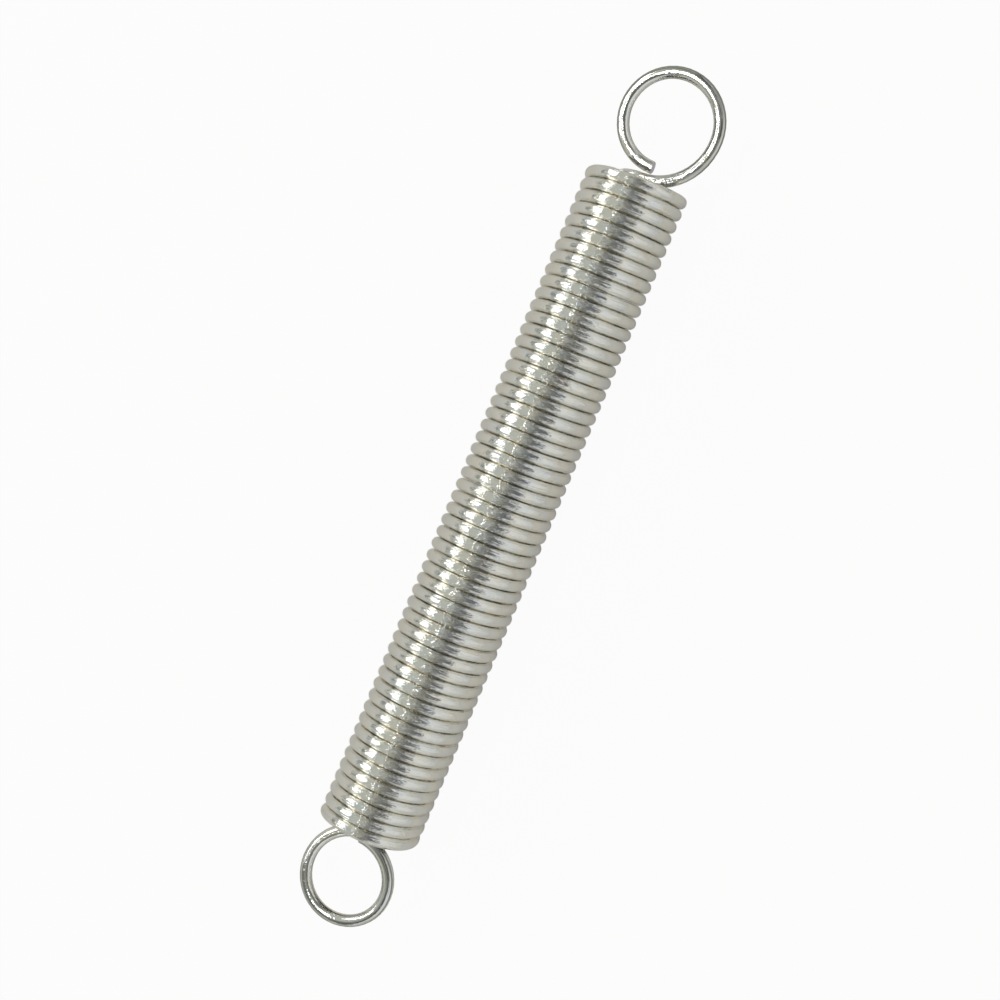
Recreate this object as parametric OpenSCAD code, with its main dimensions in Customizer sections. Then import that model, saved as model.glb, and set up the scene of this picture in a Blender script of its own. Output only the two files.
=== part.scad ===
// Extension spring: round wire wound into a close coil, with a full loop at each end.
// It lies on its side. The coil axis runs along X, the bench is the level Z = 0,
// and the origin is on the bench below the middle of the spring.

/* [Wire] */

// Diameter of the wire
wire_d = 1.2; // [1:0.05:1.3]
// Edge taken off each cut end of the wire
cut_edge = 0.08; // [0.04:0.01:0.15]

/* [Coil] */

// Outside diameter of the coil
coil_od = 10; // [9.5:0.1:12]
// Full turns in the coil
turns = 55; // [20:1:60]
// Space between neighbouring turns
turn_gap = 0.02; // [0.01:0.01:0.05]
// Angle between the plane of the loops and the bench
loop_roll = 13.5; // [0:0.5:30]
// Rise of the bend that brings the wire in to the coil axis
inward_rise = 0.45; // [0.3:0.05:0.8]

/* [First loop, its cut end lies over the leg] */

// Outside diameter of the first loop
first_od = 10.2; // [9.5:0.05:12]
// Space between the cut end and the leg below it
first_gap = 0.06; // [0.04:0.01:0.3]
// Lean of the first loop up from the coil axis
first_lean = 8; // [0:1:20]

/* [Second loop, its cut end lies beside the leg] */

// Outside diameter of the second loop
second_od = 9.8; // [9:0.1:11]
// Space between the cut end and the leg beside it
second_gap = 0.1; // [0.04:0.01:0.3]
// Lean of the second loop down from the coil axis
second_lean = 1; // [0:1:12]

/* [Hidden] */

pitch = wire_d + turn_gap;
half_rise = pitch / 2;
mean_r = (coil_od - wire_d) / 2;
coil_len = turns * pitch;

// A level half turn that is tipped to climb keeps its end directions level,
// so half turns and bends follow each other without a kink.
arc_lift = pitch / 4;
arc_tip = atan(arc_lift / mean_r);
arc_r = sqrt(pow(mean_r, 2) + pow(arc_lift, 2));

// Inward bend: half a turn from the coil's mean radius to the coil axis.
inward_tip = atan(inward_rise / mean_r);
inward_r = sqrt(pow(mean_r, 2) + pow(inward_rise, 2)) / 2;
leg_level = coil_len / 2 + inward_rise;

// First loop: two wider quarter turns lift the wire, so its end passes over the leg.
// The first of them takes this share of the lift.
first_share = 0.8;
first_r = (first_od - wire_d) / 2;
// The leg has risen a little where the cut end comes to lie over it.
leg_rise = pow((2 * first_share - 1) * wire_d, 2) / (2 * first_r);
first_step = wire_d + first_gap + leg_rise;
first_top = first_step + 2 * first_r;
first_reach = leg_level + first_top * cos(first_lean) + wire_d / 2;

// Second loop: two tipped half turns carry the end past the side of the leg.
second_step = wire_d + second_gap;
second_tip = atan(second_step / (2 * (second_od - wire_d)));
second_r = (second_od - wire_d) / (2 * cos(second_tip));
second_top = 2 * second_r;
second_reach = leg_level + second_top * cos(second_lean - second_tip) + wire_d / 2;

$fn = 48;

// Wire bent about a centre on its +Y side, from the origin heading +X.
// What follows it is placed at its end, heading on.
module bend(radius, angle) {
    translate([0, radius, 0])
        rotate([0, 0, -90])
            rotate_extrude(angle = angle)
                translate([radius, 0])
                    circle(d = wire_d);
    translate([0, radius, 0])
        rotate([0, 0, angle])
            translate([0, -radius, 0])
                children();
}

// Turns what follows about its own heading.
module roll(angle) {
    rotate([angle, 0, 0])
        children();
}

// Flat cut face with its edge taken off.
module cut_end() {
    rotate([0, 90, 0])
        cylinder(d1 = wire_d, d2 = wire_d - 2 * cut_edge, h = cut_edge);
}

// One half turn of the coil, counted from the lower end.
module half_turn(count) {
    side = (count % 2 == 0) ? 0 : 180;
    translate([0, 0, count * half_rise + arc_lift - coil_len / 2])
        rotate([0, 0, side])
            rotate([0, arc_tip, 0])
                rotate_extrude(angle = 180)
                    translate([arc_r, 0])
                        circle(d = wire_d);
}

// From the upper end of the coil in to its axis; what follows heads along the
// leg, with its +Y side pointing away from the coil.
module leg() {
    translate([0, 0, coil_len / 2 - arc_lift])
        rotate([0, -arc_tip, 0])
            translate([arc_r, 0, 0])
                rotate([0, 0, 90])
                    roll(arc_tip + inward_tip)
                        bend(inward_r, 180)
                            roll(90 + inward_tip)
                                children();
}

module first_loop() {
    roll(first_lean)
        bend(first_r + first_step * first_share, 90)
            bend(first_r + first_step * (1 - first_share), 90)
                bend(first_r, 180)
                    cut_end();
}

module second_loop() {
    roll(second_tip - second_lean)
        bend(second_r, 180)
            roll(2 * second_tip)
                bend(second_r, 180)
                    cut_end();
}

// The whole wire, standing on the second loop with its middle at the origin.
module standing_wire() {
    union() {
        for (count = [0 : 2 * turns - 1])
            half_turn(count);
        leg()
            first_loop();
        rotate([180, 0, 0])
            leg()
                second_loop();
    }
}

module spring() {
    color("silver")
        translate([(second_reach - first_reach) / 2, 0, coil_od / 2])
            rotate([-90, 0, 0])
                rotate([0, 90, 0])
                    rotate([0, 0, 90 - loop_roll])
                        standing_wire();
}

spring();
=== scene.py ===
"""Extension spring of bright plated wire, lying on its side on a pale bench."""

import logging
import math
from dataclasses import dataclass, field
from enum import Enum

import bpy
from mathutils import Matrix, Vector


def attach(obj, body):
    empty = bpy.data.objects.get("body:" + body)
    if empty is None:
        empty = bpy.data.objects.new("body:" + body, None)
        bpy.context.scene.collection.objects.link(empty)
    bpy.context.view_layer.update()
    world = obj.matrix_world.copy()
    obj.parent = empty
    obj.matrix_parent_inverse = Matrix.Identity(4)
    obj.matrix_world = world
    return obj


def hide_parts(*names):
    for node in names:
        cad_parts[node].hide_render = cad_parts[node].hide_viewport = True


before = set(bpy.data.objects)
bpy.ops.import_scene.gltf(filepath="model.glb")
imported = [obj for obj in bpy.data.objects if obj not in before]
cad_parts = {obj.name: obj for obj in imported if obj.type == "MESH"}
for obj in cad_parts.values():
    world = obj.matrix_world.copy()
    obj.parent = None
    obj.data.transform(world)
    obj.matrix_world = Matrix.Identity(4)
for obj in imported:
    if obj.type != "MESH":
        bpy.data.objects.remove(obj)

log = logging.getLogger("extension_spring")

Node = bpy.types.Node
Socket = bpy.types.NodeSocket
Tree = bpy.types.ShaderNodeTree
Colour = tuple[float, float, float, float]
Span = tuple[float, float]

MM = 0.001
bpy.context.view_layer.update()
WIRE_PLACE = "straight_wire"


def turned(degrees: float, axis: str) -> Matrix:
    """Gives a turn about one axis.

    Args:
        degrees: Angle of the turn.
        axis: The axis, X, Y or Z.

    Returns:
        The turn.
    """
    return Matrix.Rotation(math.radians(degrees), 4, axis)


def moved(x: float, y: float, z: float) -> Matrix:
    """Gives a straight move.

    Args:
        x: Distance along X.
        y: Distance along Y.
        z: Distance along Z.

    Returns:
        The move.
    """
    return Matrix.Translation((x, y, z))


def deselect() -> None:
    """Deselects every object and leaves none active."""
    bpy.ops.object.select_all(action="DESELECT")
    bpy.context.view_layer.objects.active = None


def pick(*objects: bpy.types.Object) -> None:
    """Selects the given objects only and makes the first one active.

    Args:
        objects: Objects to select.
    """
    deselect()
    for one in objects:
        one.select_set(True)
    bpy.context.view_layer.objects.active = objects[0]


def feed(tree: Tree, into: Socket, value: object) -> None:
    """Links a socket into an input, or sets the input to a plain value.

    Args:
        tree: The tree that holds the input.
        into: The input.
        value: A socket, a number or a colour.
    """
    if isinstance(value, bpy.types.NodeSocket):
        tree.links.new(value, into)
    else:
        into.default_value = value


def add_node(tree: Tree, kind: str, **values: object) -> Node:
    """Adds a node and fills its inputs.

    Args:
        tree: The tree to add to.
        kind: The node's type.
        values: Input names, with spaces as underscores, and what goes in.

    Returns:
        The new node.
    """
    node = tree.nodes.new(kind)
    for name, value in values.items():
        feed(tree, node.inputs[name.replace("_", " ")], value)
    return node


def maths(tree: Tree, operation: str, *values: object) -> Socket:
    """Adds a maths node.

    Args:
        tree: The tree to add to.
        operation: What the node works out.
        values: Its inputs in order, each a socket or a number.

    Returns:
        The socket with the result.
    """
    node = tree.nodes.new("ShaderNodeMath")
    node.operation = operation
    for into, value in zip(node.inputs, values):
        feed(tree, into, value)
    return node.outputs[0]


def mapped(tree: Tree, value: Socket, span: Span, onto: Span = (0.0, 1.0)) -> Socket:
    """Maps one range of a value onto another and holds it at the ends.

    Args:
        tree: The tree to add to.
        value: The value.
        span: The range to map from.
        onto: The range to map onto.

    Returns:
        The socket with the mapped value.
    """
    node = add_node(
        tree,
        "ShaderNodeMapRange",
        Value=value,
        From_Min=span[0],
        From_Max=span[1],
        To_Min=onto[0],
        To_Max=onto[1],
    )
    return node.outputs["Result"]


def blend(tree: Tree, share: Socket, one: object, other: object) -> Socket:
    """Mixes two colours.

    Args:
        tree: The tree to add to.
        share: Share of the second colour, 0 to 1.
        one: The first colour, plain or as a socket.
        other: The second colour, plain or as a socket.

    Returns:
        The socket with the mixed colour.
    """
    node = tree.nodes.new("ShaderNodeMix")
    node.data_type = "RGBA"
    for name, value in (("Factor", share), ("A", one), ("B", other)):
        feed(tree, node.inputs[name], value)
    return node.outputs["Result"]


def size_along_coil(tree: Tree, vector: Socket) -> Socket:
    """Takes the part of a vector along the coil axis, without its sign.

    Args:
        tree: The tree to add to.
        vector: The vector.

    Returns:
        The socket with the size of that part.
    """
    parts = add_node(tree, "ShaderNodeSeparateXYZ", Vector=vector)
    return maths(tree, "ABSOLUTE", parts.outputs["X"])


def wire_place(tree: Tree) -> Socket:
    """Adds the place on the wire as it was before it was bent.

    Args:
        tree: The tree to add to.

    Returns:
        The socket with the place, in millimetres along and across the wire.
    """
    place = tree.nodes.new("ShaderNodeAttribute")
    place.attribute_name = WIRE_PLACE
    return place.outputs["Vector"]


def new_material(name: str, **values: object) -> tuple[bpy.types.Material, Node]:
    """Makes a material with the plain shader.

    Args:
        name: The material's name.
        values: The shader's input names, with spaces as underscores, and values.

    Returns:
        The material and its shader.
    """
    made = bpy.data.materials.new(name)
    made.use_nodes = True
    shader = made.node_tree.nodes["Principled BSDF"]
    for place, value in values.items():
        shader.inputs[place.replace("_", " ")].default_value = value
    return made, shader


def drawn_streaks() -> Tree:
    """Makes the group that gives streaks along drawn wire.

    Returns:
        The node group, built once.
    """
    known = bpy.data.node_groups.get("drawn_streaks")
    if known:
        return known
    group = bpy.data.node_groups.new("drawn_streaks", "ShaderNodeTree")
    face = group.interface
    face.new_socket("Place", in_out="INPUT", socket_type="NodeSocketVector")
    for name in ("Across", "Along", "Detail"):
        face.new_socket(name, in_out="INPUT", socket_type="NodeSocketFloat")
    face.new_socket("Streak", in_out="OUTPUT", socket_type="NodeSocketFloat")
    enter = group.nodes.new("NodeGroupInput")
    leave = group.nodes.new("NodeGroupOutput")
    across = enter.outputs["Across"]
    scale = add_node(
        group, "ShaderNodeCombineXYZ", X=enter.outputs["Along"], Y=across, Z=across
    )
    stretch = group.nodes.new("ShaderNodeVectorMath")
    stretch.operation = "MULTIPLY"
    feed(group, stretch.inputs[0], enter.outputs["Place"])
    feed(group, stretch.inputs[1], scale.outputs[0])
    noise = add_node(
        group,
        "ShaderNodeTexNoise",
        Vector=stretch.outputs[0],
        Scale=1.0,
        Detail=enter.outputs["Detail"],
        Roughness=0.6,
    )
    feed(group, leave.inputs["Streak"], noise.outputs["Fac"])
    return group


@dataclass(frozen=True)
class Streaks:
    """Streaks that follow the drawn wire.

    Attributes:
        across: Streaks in a millimetre across the wire.
        along: Streaks in a millimetre along the wire.
        detail: Fineness of their edges.
    """

    across: float
    along: float
    detail: float

    def add(self, tree: Tree, place: Socket) -> Socket:
        """Adds the streaks to a material.

        Args:
            tree: The material's tree.
            place: The socket that gives the place on the straight wire.

        Returns:
            The socket that gives the streaks.
        """
        group = tree.nodes.new("ShaderNodeGroup")
        group.node_tree = drawn_streaks()
        feed(tree, group.inputs["Place"], place)
        feed(tree, group.inputs["Across"], self.across)
        feed(tree, group.inputs["Along"], self.along)
        feed(tree, group.inputs["Detail"], self.detail)
        return group.outputs["Streak"]


@dataclass(frozen=True)
class PlatedWire:
    """Bright plating on drawn steel wire, bluish in places, yellowish in others.

    Attributes:
        cool: Colour where the plating looks bluish.
        warm: Colour where it looks yellowish.
        patch_scale: Patches of the two colours in a millimetre.
        patch_detail: Fineness of the patches.
        patch_edge: Range over which bluish turns yellowish.
        crease_shade_colour: Colour of painted shade, a yellowish tint on the sides
            that face the next turn, in the creases between turns.
        crease_edge: Range over which a side turns towards the next turn.
        reflection_dark_colour: Colour of the dark lines painted along the loops, a
            painted reflection of the dark bands they show.
        reflection_streaks: The streaks that these painted dark lines follow.
        reflection_edge: Range over which a streak turns dark.
        loop_start: Distance from the middle of the spring to the loops, in metres.
        loop_fade: Length over which the painted reflection lines and the fainter bumps
            of the loops fade in, in metres.
        lines: Fine lines that drawing leaves.
        line_depth: Their depth, in metres.
        dents: Small dents in the plating.
        dent_depth: Their depth, in metres.
        loop_bump: Share of both depths that is left on the loops.
        wear: Streaks of duller plating.
        wear_edge: Range over which a streak turns dull.
        roughness: Roughness of the brightest and the dullest plating.
    """

    cool: Colour = (0.86, 0.885, 0.89, 1.0)
    warm: Colour = (0.92, 0.90, 0.84, 1.0)
    patch_scale: float = 0.9
    patch_detail: float = 3.0
    patch_edge: Span = (0.35, 0.65)
    crease_shade_colour: Colour = (0.90, 0.87, 0.78, 1.0)
    crease_edge: Span = (0.80, 1.0)
    reflection_dark_colour: Colour = (0.30, 0.31, 0.30, 1.0)
    reflection_streaks: Streaks = Streaks(2.2, 0.05, 3.0)
    reflection_edge: Span = (0.46, 0.58)
    loop_start: float = 0.0335
    loop_fade: float = 0.002
    lines: Streaks = Streaks(6.0, 0.25, 2.0)
    line_depth: float = 0.0001
    dents: Streaks = Streaks(5.0, 1.8, 2.0)
    dent_depth: float = 0.00005
    loop_bump: float = 0.3
    wear: Streaks = Streaks(2.0, 0.8, 4.0)
    wear_edge: Span = (0.35, 0.65)
    roughness: Span = (0.035, 0.09)

    def tint(self, tree: Tree, place: Socket) -> Socket:
        """Adds the soft change from bluish to yellowish plating.

        Args:
            tree: The material's tree.
            place: The socket that gives the place on the straight wire.

        Returns:
            The socket that gives the colour.
        """
        patch = add_node(
            tree,
            "ShaderNodeTexNoise",
            Vector=place,
            Scale=self.patch_scale,
            Detail=self.patch_detail,
        )
        share = mapped(tree, patch.outputs["Fac"], self.patch_edge)
        return blend(tree, share, self.cool, self.warm)

    def add_crease_shade(self, tree: Tree, plating: Socket) -> Socket:
        """Adds painted shade, a yellowish tint on the sides that face the next turn,
        in the creases between turns.

        Args:
            tree: The material's tree.
            plating: The colour of the clean plating.

        Returns:
            The socket that gives the colour.
        """
        # Painted shade: sides that face along the coil axis, as in the creases between
        # turns, get a yellowish tint.
        side = tree.nodes.new("ShaderNodeNewGeometry")
        facing = size_along_coil(tree, side.outputs["Normal"])
        share = mapped(tree, facing, self.crease_edge)
        return blend(tree, share, plating, self.crease_shade_colour)

    def on_loops(self, tree: Tree, coil: float, loop: float) -> Socket:
        """Gives one value on the coil and another on the loops.

        Args:
            tree: The material's tree.
            coil: The value on the coil.
            loop: The value on the loops.

        Returns:
            The socket that gives the value.
        """
        where = tree.nodes.new("ShaderNodeTexCoord")
        out = size_along_coil(tree, where.outputs["Object"])
        fade = (self.loop_start, self.loop_start + self.loop_fade)
        return mapped(tree, out, fade, (coil, loop))

    def add_loop_reflections(self, tree: Tree, place: Socket, plating: Socket) -> Socket:
        """Adds dark lines along the loops, a painted reflection of the dark bands they
        show.

        Args:
            tree: The material's tree.
            place: The socket that gives the place on the straight wire.
            plating: The colour of the plating without them.

        Returns:
            The socket that gives the colour.
        """
        # Painted reflection: dark streaks on the loops stand for the dark bands the
        # loops reflect.
        dark = mapped(tree, self.reflection_streaks.add(tree, place), self.reflection_edge)
        share = maths(tree, "MULTIPLY", self.on_loops(tree, 0.0, 1.0), dark)
        return blend(tree, share, plating, self.reflection_dark_colour)

    def bump(self, tree: Tree, place: Socket) -> Socket:
        """Adds the drawn lines and the small dents, both fainter on the loops.

        Args:
            tree: The material's tree.
            place: The socket that gives the place on the straight wire.

        Returns:
            The socket that gives the normal.
        """
        strength = self.on_loops(tree, 1.0, self.loop_bump)
        lines = add_node(
            tree,
            "ShaderNodeBump",
            Strength=strength,
            Distance=self.line_depth,
            Height=self.lines.add(tree, place),
        )
        dents = add_node(
            tree,
            "ShaderNodeBump",
            Strength=strength,
            Distance=self.dent_depth,
            Height=self.dents.add(tree, place),
            Normal=lines.outputs["Normal"],
        )
        return dents.outputs["Normal"]

    def material(self) -> bpy.types.Material:
        """Makes the material.

        Returns:
            A plated metal with lines and small dents that follow the wire.
        """
        made, shader = new_material("plated_wire", Metallic=1.0)
        tree = made.node_tree
        place = wire_place(tree)
        # This colour carries the painted crease shade.
        plating = self.add_crease_shade(tree, self.tint(tree, place))
        worn = self.wear.add(tree, place)
        rough = mapped(tree, worn, self.wear_edge, self.roughness)
        # On the loops the base colour also carries the painted dark reflection lines.
        feed(tree, shader.inputs["Base Color"], self.add_loop_reflections(tree, place, plating))
        feed(tree, shader.inputs["Roughness"], rough)
        feed(tree, shader.inputs["Normal"], self.bump(tree, place))
        return made


@dataclass(frozen=True)
class CutFace:
    """Bare steel where the wire was cut.

    Attributes:
        steel: Its colour.
        metal: How metallic it looks, 0 to 1.
        shear: The fine lines that cutting leaves.
        roughness: Roughness between the lines and on them.
    """

    steel: Colour = (0.74, 0.72, 0.80, 1.0)
    metal: float = 0.7
    shear: Streaks = Streaks(3.0, 0.35, 3.0)
    roughness: Span = (0.35, 0.6)

    def material(self) -> bpy.types.Material:
        """Makes the material.

        Returns:
            A dull bare steel with fine shear lines.
        """
        made, shader = new_material(
            "cut_face", Metallic=self.metal, Base_Color=self.steel
        )
        tree = made.node_tree
        lines = self.shear.add(tree, wire_place(tree))
        rough = mapped(tree, lines, (0.0, 1.0), self.roughness)
        feed(tree, shader.inputs["Roughness"], rough)
        return made


class LoopStyle(Enum):
    """Where the cut end of an end loop lies."""

    OVER_LEG = "over the leg"
    BESIDE_LEG = "beside the leg"


@dataclass(frozen=True)
class Wire:
    """Round wire, in millimetres.

    Attributes:
        diameter: Diameter of the wire.
        sides: Flat sides that stand for its round section.
        step_angle: Angle between its sections along a bend, in degrees.
        cut_edge: Edge taken off each cut end.
        face_ring: Share of the diameter that the outer ring of an end face takes.
        merge: Points nearer to each other than this become one.
        smooth: Edges flatter than this look smooth, in degrees.
    """

    diameter: float = 1.2
    sides: int = 18
    step_angle: float = 7.5
    cut_edge: float = 0.08
    face_ring: float = 0.12
    merge: float = 0.004
    smooth: float = 35.0


@dataclass(frozen=True)
class EndLoop:
    """One end loop, in millimetres and degrees.

    Attributes:
        style: Where its cut end lies.
        outside: Outside diameter.
        gap: Space between the cut end and the leg.
        lean: Lean of the loop from the coil axis.
        share: Part of the lift that the first quarter turn takes.
    """

    style: LoopStyle
    outside: float
    gap: float
    lean: float
    share: float = 0.8


@dataclass(frozen=True)
class Bend:
    """One bend of the wire.

    Attributes:
        roll: Turn about the wire's heading before the bend, in degrees.
        radius: Radius to the middle of the wire, in millimetres.
        angle: Angle turned through, in degrees.
    """

    roll: float
    radius: float
    angle: float

    @property
    def length(self) -> float:
        """Length of wire in the bend, in millimetres."""
        return self.radius * math.radians(self.angle)


@dataclass
class SpringWire:
    """The whole bent wire: the coil and the loop at each end.

    It is one mesh of bends laid end to end. Neighbouring bends are rolled
    against each other, so most of their end rings don't match, and those bends
    stay tubes of their own with closed ends inside the wire.

    Attributes:
        wire: The wire it is made of.
        coil_outside: Outside diameter of the coil, in millimetres.
        turns: Full turns in the coil.
        turn_gap: Space between neighbouring turns, in millimetres.
        loop_roll: Angle between the loops' plane and the bench, in degrees.
        inward_rise: Rise of the bend that brings the wire in to the axis.
        first: The loop towards +X.
        second: The loop towards -X.
        segments: The bends made so far, on the standing spring.
    """

    wire: Wire = Wire()
    coil_outside: float = 10.0
    turns: int = 55
    turn_gap: float = 0.02
    loop_roll: float = 13.5
    inward_rise: float = 0.45
    first: EndLoop = EndLoop(LoopStyle.OVER_LEG, 10.2, 0.06, 8.0)
    second: EndLoop = EndLoop(LoopStyle.BESIDE_LEG, 9.8, 0.1, 1.0)
    segments: list[bpy.types.Object] = field(default_factory=list)

    @property
    def pitch(self) -> float:
        """Distance from turn to turn, in millimetres."""
        return self.wire.diameter + self.turn_gap

    @property
    def mean_radius(self) -> float:
        """Radius of the coil to the middle of its wire."""
        return (self.coil_outside - self.wire.diameter) / 2

    @property
    def length(self) -> float:
        """Length of the coil along its axis."""
        return self.turns * self.pitch

    @property
    def arc_lift(self) -> float:
        """Half of the climb of a half turn."""
        return self.pitch / 4

    @property
    def arc_tip(self) -> float:
        """Tip of a half turn, in degrees."""
        return math.degrees(math.atan(self.arc_lift / self.mean_radius))

    @property
    def arc_radius(self) -> float:
        """Radius of a tipped half turn."""
        return math.hypot(self.mean_radius, self.arc_lift)

    def across(self, loop: EndLoop) -> float:
        """Works out a loop's diameter to the middle of its wire.

        Args:
            loop: The loop to measure.

        Returns:
            The diameter in millimetres.
        """
        return loop.outside - self.wire.diameter

    def step(self, loop: EndLoop) -> float:
        """Works out how far the cut end is set off from the leg.

        Args:
            loop: The loop to measure.

        Returns:
            The distance between the middles of the two wires.
        """
        step = self.wire.diameter + loop.gap
        if loop.style is LoopStyle.OVER_LEG:
            short = (2 * loop.share - 1) * self.wire.diameter
            step += short**2 / self.across(loop)
        return step

    def loop_tip(self, loop: EndLoop) -> float:
        """Works out the tip of a loop that passes beside its leg.

        Args:
            loop: The loop to measure.

        Returns:
            The tip of its first half turn, in degrees.
        """
        return math.degrees(math.atan(self.step(loop) / (2 * self.across(loop))))

    def loop_bends(self, loop: EndLoop) -> list[Bend]:
        """Lists the bends of an end loop, from its leg to its cut end.

        Args:
            loop: The loop to make.

        Returns:
            The bends in order.
        """
        if loop.style is LoopStyle.OVER_LEG:
            step = self.step(loop)
            radius = self.across(loop) / 2
            return [
                Bend(loop.lean, radius + step * loop.share, 90),
                Bend(0, radius + step * (1 - loop.share), 90),
                Bend(0, radius, 180),
            ]
        tip = self.loop_tip(loop)
        radius = self.across(loop) / (2 * math.cos(math.radians(tip)))
        return [Bend(tip - loop.lean, radius, 180), Bend(2 * tip, radius, 180)]

    def end_bends(self, loop: EndLoop) -> list[Bend]:
        """Lists the bends from the end of the coil to the cut end.

        Args:
            loop: The loop at this end.

        Returns:
            The bends in order.
        """
        tip = math.degrees(math.atan(self.inward_rise / self.mean_radius))
        inward = math.hypot(self.mean_radius, self.inward_rise) / 2
        bends = [Bend(self.arc_tip + tip, inward, 180)]
        for number, bend in enumerate(self.loop_bends(loop)):
            lead = 90 + tip if number == 0 else 0
            bends.append(Bend(bend.roll + lead, bend.radius, bend.angle))
        return bends

    def reach(self, loop: EndLoop) -> float:
        """Works out how far a loop reaches from the middle of the coil.

        Args:
            loop: The loop to measure.

        Returns:
            The distance in millimetres.
        """
        leg = self.length / 2 + self.inward_rise
        across = self.across(loop)
        if loop.style is LoopStyle.OVER_LEG:
            top = (self.step(loop) + across) * math.cos(math.radians(loop.lean))
        else:
            tip = self.loop_tip(loop)
            long = across / math.cos(math.radians(tip))
            top = long * math.cos(math.radians(loop.lean - tip))
        return leg + top + self.wire.diameter / 2

    def laid_down(self) -> Matrix:
        """Works out how the standing spring comes to lie on the bench.

        Returns:
            The move, in millimetres.
        """
        shift = (self.reach(self.second) - self.reach(self.first)) / 2
        return (
            moved(shift, 0, self.coil_outside / 2)
            @ turned(-90, "X")
            @ turned(90, "Y")
            @ turned(90 - self.loop_roll, "Z")
        )

    def segment(self, name: str, bend: Bend, start: float) -> bpy.types.Object:
        """Makes one bend of wire from the origin, heading +X towards +Y.

        Args:
            name: Name of the segment.
            bend: Its radius and angle; its roll is left to the caller.
            start: Length of wire before it, in millimetres.

        Returns:
            The segment, with the straight wire's place kept on each point.
        """
        deselect()
        bpy.ops.mesh.primitive_circle_add(
            vertices=self.wire.sides,
            radius=self.wire.diameter / 2,
            fill_type="NOTHING",
            rotation=(0, math.pi / 2, 0),
        )
        tube = bpy.context.object
        tube.name = tube.data.name = name
        bpy.ops.object.transform_apply(location=True, rotation=True, scale=True)
        ring = [point.co.copy() for point in tube.data.vertices]
        steps = round(bend.angle / self.wire.step_angle)
        bpy.ops.object.mode_set(mode="EDIT")
        bpy.ops.mesh.select_all(action="SELECT")
        bpy.ops.mesh.spin(
            steps=steps,
            dupli=False,
            angle=-math.radians(bend.angle),
            use_auto_merge=False,
            center=(0, bend.radius, 0),
            axis=(0, 0, 1),
        )
        bpy.ops.object.mode_set(mode="OBJECT")
        straight = tube.data.attributes.new(WIRE_PLACE, "FLOAT_VECTOR", "POINT")
        for number, value in enumerate(straight.data):
            step, side = divmod(number, self.wire.sides)
            along = start + bend.length * step / steps
            value.vector = (along, ring[side].y, ring[side].z)
        return tube

    def coil(self) -> None:
        """Makes one half turn and copies it along the coil."""
        half = Bend(0, self.arc_radius, 180)
        model = self.segment("half_turn", half, 0)
        self.segments.append(model)
        for _ in range(2 * self.turns - 1):
            copy = model.copy()
            copy.data = model.data.copy()
            bpy.context.collection.objects.link(copy)
            self.segments.append(copy)
        for count, tube in enumerate(self.segments):
            level = count * self.pitch / 2 + self.arc_lift - self.length / 2
            tube.data.transform(
                moved(0, 0, level)
                @ turned(180 * (count % 2), "Z")
                @ turned(self.arc_tip, "Y")
                @ moved(self.arc_radius, 0, 0)
                @ turned(90, "Z")
            )
            for value in tube.data.attributes[WIRE_PLACE].data:
                value.vector[0] += count * half.length

    def end(self, loop: EndLoop, upper: bool) -> None:
        """Makes the inward bend and the loop at one end of the coil.

        Args:
            loop: The loop at this end.
            upper: True for the +X end.
        """
        place = (
            moved(0, 0, self.length / 2 - self.arc_lift)
            @ turned(-self.arc_tip, "Y")
            @ moved(self.arc_radius, 0, 0)
            @ turned(90, "Z")
        )
        if not upper:
            place = turned(180, "X") @ place
        coil_wire = 2 * self.turns * self.arc_radius * math.pi
        along = coil_wire
        for number, bend in enumerate(self.end_bends(loop)):
            place = place @ turned(bend.roll, "X")
            tube = self.segment(f"end_bend_{number}", bend, along)
            if not upper:
                for value in tube.data.attributes[WIRE_PLACE].data:
                    value.vector[0] = coil_wire - value.vector[0]
            tube.data.transform(place)
            self.segments.append(tube)
            along += bend.length
            place = (
                place
                @ moved(0, bend.radius, 0)
                @ turned(bend.angle, "Z")
                @ moved(0, -bend.radius, 0)
            )

    def join(self) -> bpy.types.Object:
        """Joins the segments into one mesh and merges the rings that match.

        Returns:
            The standing spring, open wherever rings don't match.
        """
        pick(*self.segments)
        bpy.ops.object.join()
        tube = bpy.context.object
        tube.name = tube.data.name = "spring_wire"
        bpy.ops.object.mode_set(mode="EDIT")
        bpy.ops.mesh.select_all(action="SELECT")
        bpy.ops.mesh.remove_doubles(threshold=self.wire.merge)
        bpy.ops.mesh.normals_make_consistent(inside=False)
        bpy.ops.object.mode_set(mode="OBJECT")
        self.segments.clear()
        return tube

    def close_ends(self, tube: bpy.types.Object, slot: int) -> None:
        """Closes every open end with a broken edge and a flat face.

        Two of them are the cut ends. The others lie inside the wire, where
        neighbouring bends meet, and don't show.

        Args:
            tube: The joined bends.
            slot: Material slot of the end faces.
        """
        edge = self.wire.cut_edge
        bpy.ops.object.mode_set(mode="EDIT")
        bpy.ops.mesh.select_mode(type="EDGE")
        bpy.ops.mesh.select_all(action="DESELECT")
        bpy.ops.mesh.select_non_manifold(
            extend=False,
            use_wire=False,
            use_boundary=True,
            use_multi_face=False,
            use_non_contiguous=False,
            use_verts=False,
        )
        bpy.ops.mesh.edge_face_add()
        bpy.ops.object.mode_set(mode="OBJECT")
        caps = [
            face for face in tube.data.polygons
            if len(face.vertices) == self.wire.sides
        ]
        log.info("open ends closed: %d", len(caps))
        for cap in caps:
            cap.material_index = slot
        bpy.ops.object.mode_set(mode="EDIT")
        bpy.ops.mesh.select_mode(type="FACE")
        bpy.ops.mesh.inset(thickness=edge, depth=edge)
        ring = self.wire.diameter * self.wire.face_ring
        bpy.ops.mesh.inset(thickness=ring, depth=0)
        bpy.ops.object.mode_set(mode="OBJECT")

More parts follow.
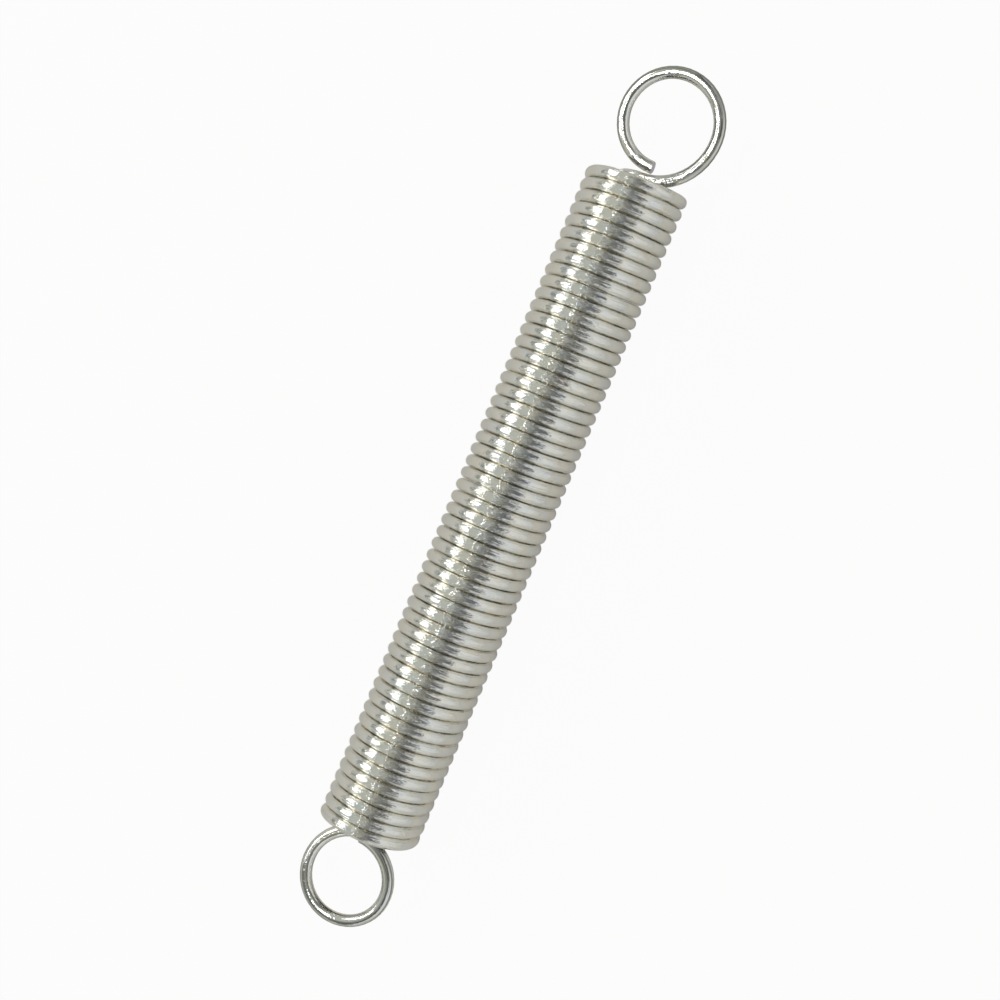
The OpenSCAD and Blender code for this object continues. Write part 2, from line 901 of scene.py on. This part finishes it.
    def build(self) -> bpy.types.Object:
        """Builds the wire, lays it on the bench and smooths it.

        Returns:
            The finished piece.
        """
        self.coil()
        self.end(self.first, upper=True)
        self.end(self.second, upper=False)
        tube = self.join()
        tube.data.materials.clear()
        tube.data.materials.append(PlatedWire().material())
        tube.data.materials.append(CutFace().material())
        self.close_ends(tube, slot=1)
        tube.data.transform(Matrix.Scale(MM, 4) @ self.laid_down())
        tube.data.update()
        pick(tube)
        bpy.ops.object.shade_smooth_by_angle(angle=math.radians(self.wire.smooth))
        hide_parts("spring")
        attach(tube, "root")
        return tube


@dataclass(frozen=True)
class Bench:
    """Pale bench that keeps the spring's shadow.

    Attributes:
        size: Length of each side, in metres.
        colour: Its colour.
        roughness: Its roughness.
        shine: How strongly it shines.
        seen_white: Share of plain white that the camera sees in it.
        shown_white: Share of plain white that polished things show of it.
    """

    size: float = 4.0
    colour: Colour = (0.80, 0.77, 0.72, 1.0)
    roughness: float = 0.9
    shine: float = 0.1
    seen_white: float = 0.95
    shown_white: float = 0.06

    def white_share(self, tree: Tree) -> Socket:
        """Gives each kind of ray its share of plain white.

        Args:
            tree: The material's tree.

        Returns:
            The socket that gives the share.
        """
        light = tree.nodes.new("ShaderNodeLightPath")
        shares = (
            ("Is Glossy Ray", self.shown_white),
            ("Is Transmission Ray", self.seen_white),
        )
        most = maths(tree, "MULTIPLY", light.outputs["Is Camera Ray"], self.seen_white)
        for ray, share in shares:
            part = maths(tree, "MULTIPLY", light.outputs[ray], share)
            most = maths(tree, "MAXIMUM", most, part)
        return most

    def lay(self) -> None:
        """Lays the bench under the spring."""
        deselect()
        bpy.ops.mesh.primitive_plane_add(size=self.size)
        bench = bpy.context.object
        bench.name = "bench"
        made, shader = new_material(
            "bench",
            Base_Color=self.colour,
            Roughness=self.roughness,
            Specular_IOR_Level=self.shine,
        )
        tree = made.node_tree
        white = add_node(tree, "ShaderNodeEmission", Strength=1.0)
        mix = tree.nodes.new("ShaderNodeMixShader")
        feed(tree, mix.inputs[0], self.white_share(tree))
        feed(tree, mix.inputs[1], shader.outputs[0])
        feed(tree, mix.inputs[2], white.outputs[0])
        feed(tree, tree.nodes["Material Output"].inputs[0], mix.outputs[0])
        bench.data.materials.append(made)


@dataclass(frozen=True)
class Room:
    """The room as the metal shows it: pale walls and a dark ceiling.

    Attributes:
        greys: Angles from straight up towards +Y, in degrees, and the colour there.
        waist: Turn of the greys far towards +X and -X, in degrees.
    """

    greys: tuple[tuple[float, float, float, float], ...] = (
        (-180, 0.40, 0.37, 0.32),
        (-110, 0.44, 0.43, 0.40),
        (-90, 0.52, 0.52, 0.49),
        (-70, 0.66, 0.665, 0.64),
        (-44, 0.70, 0.71, 0.70),
        (-37, 0.68, 0.69, 0.68),
        (-33, 0.11, 0.11, 0.11),
        (-14, 0.14, 0.145, 0.14),
        (-2, 0.22, 0.22, 0.20),
        (7, 0.30, 0.305, 0.27),
        (14, 0.47, 0.48, 0.43),
        (50, 0.46, 0.47, 0.42),
        (77, 0.48, 0.48, 0.43),
        (80, 0.20, 0.24, 0.24),
        (91, 0.22, 0.26, 0.26),
        (95, 0.46, 0.43, 0.39),
        (180, 0.50, 0.45, 0.39),
    )
    waist: float = -30.0

    def angle(self, tree: Tree) -> Socket:
        """Works out where along the band of greys a direction lies.

        Args:
            tree: The world's tree.

        Returns:
            The socket that gives 0 to 1 round the coil axis.
        """
        where = tree.nodes.new("ShaderNodeTexCoord")
        parts = add_node(
            tree, "ShaderNodeSeparateXYZ", Vector=where.outputs["Generated"]
        )
        x, y, z = (parts.outputs[axis] for axis in "XYZ")
        angle = maths(tree, "ARCTAN2", y, z)
        square = maths(tree, "MULTIPLY", x, x)
        narrowed = maths(
            tree, "MULTIPLY_ADD", square, math.radians(self.waist), angle
        )
        return mapped(tree, narrowed, (-math.pi, math.pi))

    def band(self, tree: Tree) -> Socket:
        """Adds the band of greys.

        Args:
            tree: The world's tree.

        Returns:
            The socket that gives the colour.
        """
        ramp = tree.nodes.new("ShaderNodeValToRGB")
        stops = ramp.color_ramp.elements
        while len(stops) > 1:
            stops.remove(stops[-1])
        for number, (degrees, *colour) in enumerate(self.greys):
            at = (degrees + 180) / 360
            stop = stops[0] if number == 0 else stops.new(at)
            stop.position = at
            stop.color = (*colour, 1)
        feed(tree, ramp.inputs[0], self.angle(tree))
        return ramp.outputs["Color"]

    def light(self) -> None:
        """Lights the room; the camera sees plain white behind the bench."""
        world = bpy.data.worlds.new("studio")
        bpy.context.scene.world = world
        world.use_nodes = True
        tree = world.node_tree
        tree.nodes.clear()
        room = add_node(
            tree, "ShaderNodeBackground", Color=self.band(tree), Strength=1.0
        )
        seen = add_node(
            tree, "ShaderNodeBackground", Color=(1.0, 1.0, 1.0, 1.0), Strength=1.0
        )
        ray = tree.nodes.new("ShaderNodeLightPath")
        mix = tree.nodes.new("ShaderNodeMixShader")
        feed(tree, mix.inputs[0], ray.outputs["Is Camera Ray"])
        feed(tree, mix.inputs[1], room.outputs[0])
        feed(tree, mix.inputs[2], seen.outputs[0])
        add_node(tree, "ShaderNodeOutputWorld", Surface=mix.outputs[0])


@dataclass(frozen=True)
class Lamp:
    """A soft lamp above the bench, seen from the spring.

    Attributes:
        name: Its name.
        angle: Angle from straight up towards +Y, in degrees.
        along: Angle from the coil's cross plane towards +X, in degrees.
        distance: Distance from the spring, in metres.
        size: Its size across and along the coil, in metres.
        power: Its power, in watts.
    """

    name: str
    angle: float
    along: float
    distance: float
    size: Span
    power: float

    def hang(self) -> None:
        """Hangs the lamp, facing the spring."""
        data = bpy.data.lights.new(self.name, "AREA")
        data.shape = "RECTANGLE"
        data.size, data.size_y = self.size
        data.energy = self.power
        lamp = bpy.data.objects.new(self.name, data)
        lamp.matrix_world = (
            turned(-self.angle, "X")
            @ turned(self.along, "Y")
            @ moved(0, 0, self.distance)
            @ turned(90, "Z")
        )
        bpy.context.collection.objects.link(lamp)


@dataclass(frozen=True)
class Camera:
    """The camera, where the photograph was taken from.

    Attributes:
        place: Its place, in millimetres.
        turn: Its turn about X, Y and Z, in degrees.
        lens: Its focal length, in millimetres.
        sensor: Width of its sensor, in millimetres.
        nearest: Shortest distance that it shows, in metres.
    """

    place: tuple[float, float, float] = (11.119, 0.0, 162.959)
    turn: tuple[float, float, float] = (-3.5951, 1.6921, -67.397)
    lens: float = 59.785
    sensor: float = 36.0
    nearest: float = 0.005

    def set_up(self) -> None:
        """Sets the camera up at the photograph's angle."""
        data = bpy.data.cameras.new("camera")
        data.lens = self.lens
        data.sensor_width = self.sensor
        data.clip_start = self.nearest
        eye = bpy.data.objects.new("camera", data)
        eye.location = Vector(self.place) * MM
        eye.rotation_euler = [math.radians(turn) for turn in self.turn]
        bpy.context.collection.objects.link(eye)
        bpy.context.scene.camera = eye


@dataclass(frozen=True)
class Studio:
    """Bench, room, lamps and camera.

    Attributes:
        bench: The bench that the spring lies on.
        room: The room round it.
        lamps: The lamps over the bench.
        camera: The camera.
    """

    bench: Bench = Bench()
    room: Room = Room()
    lamps: tuple[Lamp, ...] = (
        Lamp("side_lamp", 61, 4, 0.6, (0.19, 0.50), 0.85),
        Lamp("small_lamp", 26, 0, 0.8, (0.07, 0.28), 0.7),
        Lamp("first_end_lamp", 4, 68, 0.6, (0.30, 0.03), 0.028),
        Lamp("second_end_lamp", 4, -68, 0.6, (0.30, 0.03), 0.028),
    )
    camera: Camera = Camera()

    def build(self) -> None:
        """Builds the whole studio and keeps Blender's plain colours."""
        self.bench.lay()
        self.room.light()
        for lamp in self.lamps:
            lamp.hang()
        self.camera.set_up()
        bpy.context.scene.view_settings.view_transform = "Standard"


def main() -> None:
    """Builds the spring and the studio."""
    spring = SpringWire().build()
    log.info("spring wire: %d faces", len(spring.data.polygons))
    Studio().build()


if __name__ == "__main__":
    logging.basicConfig(level=logging.INFO)
    main()
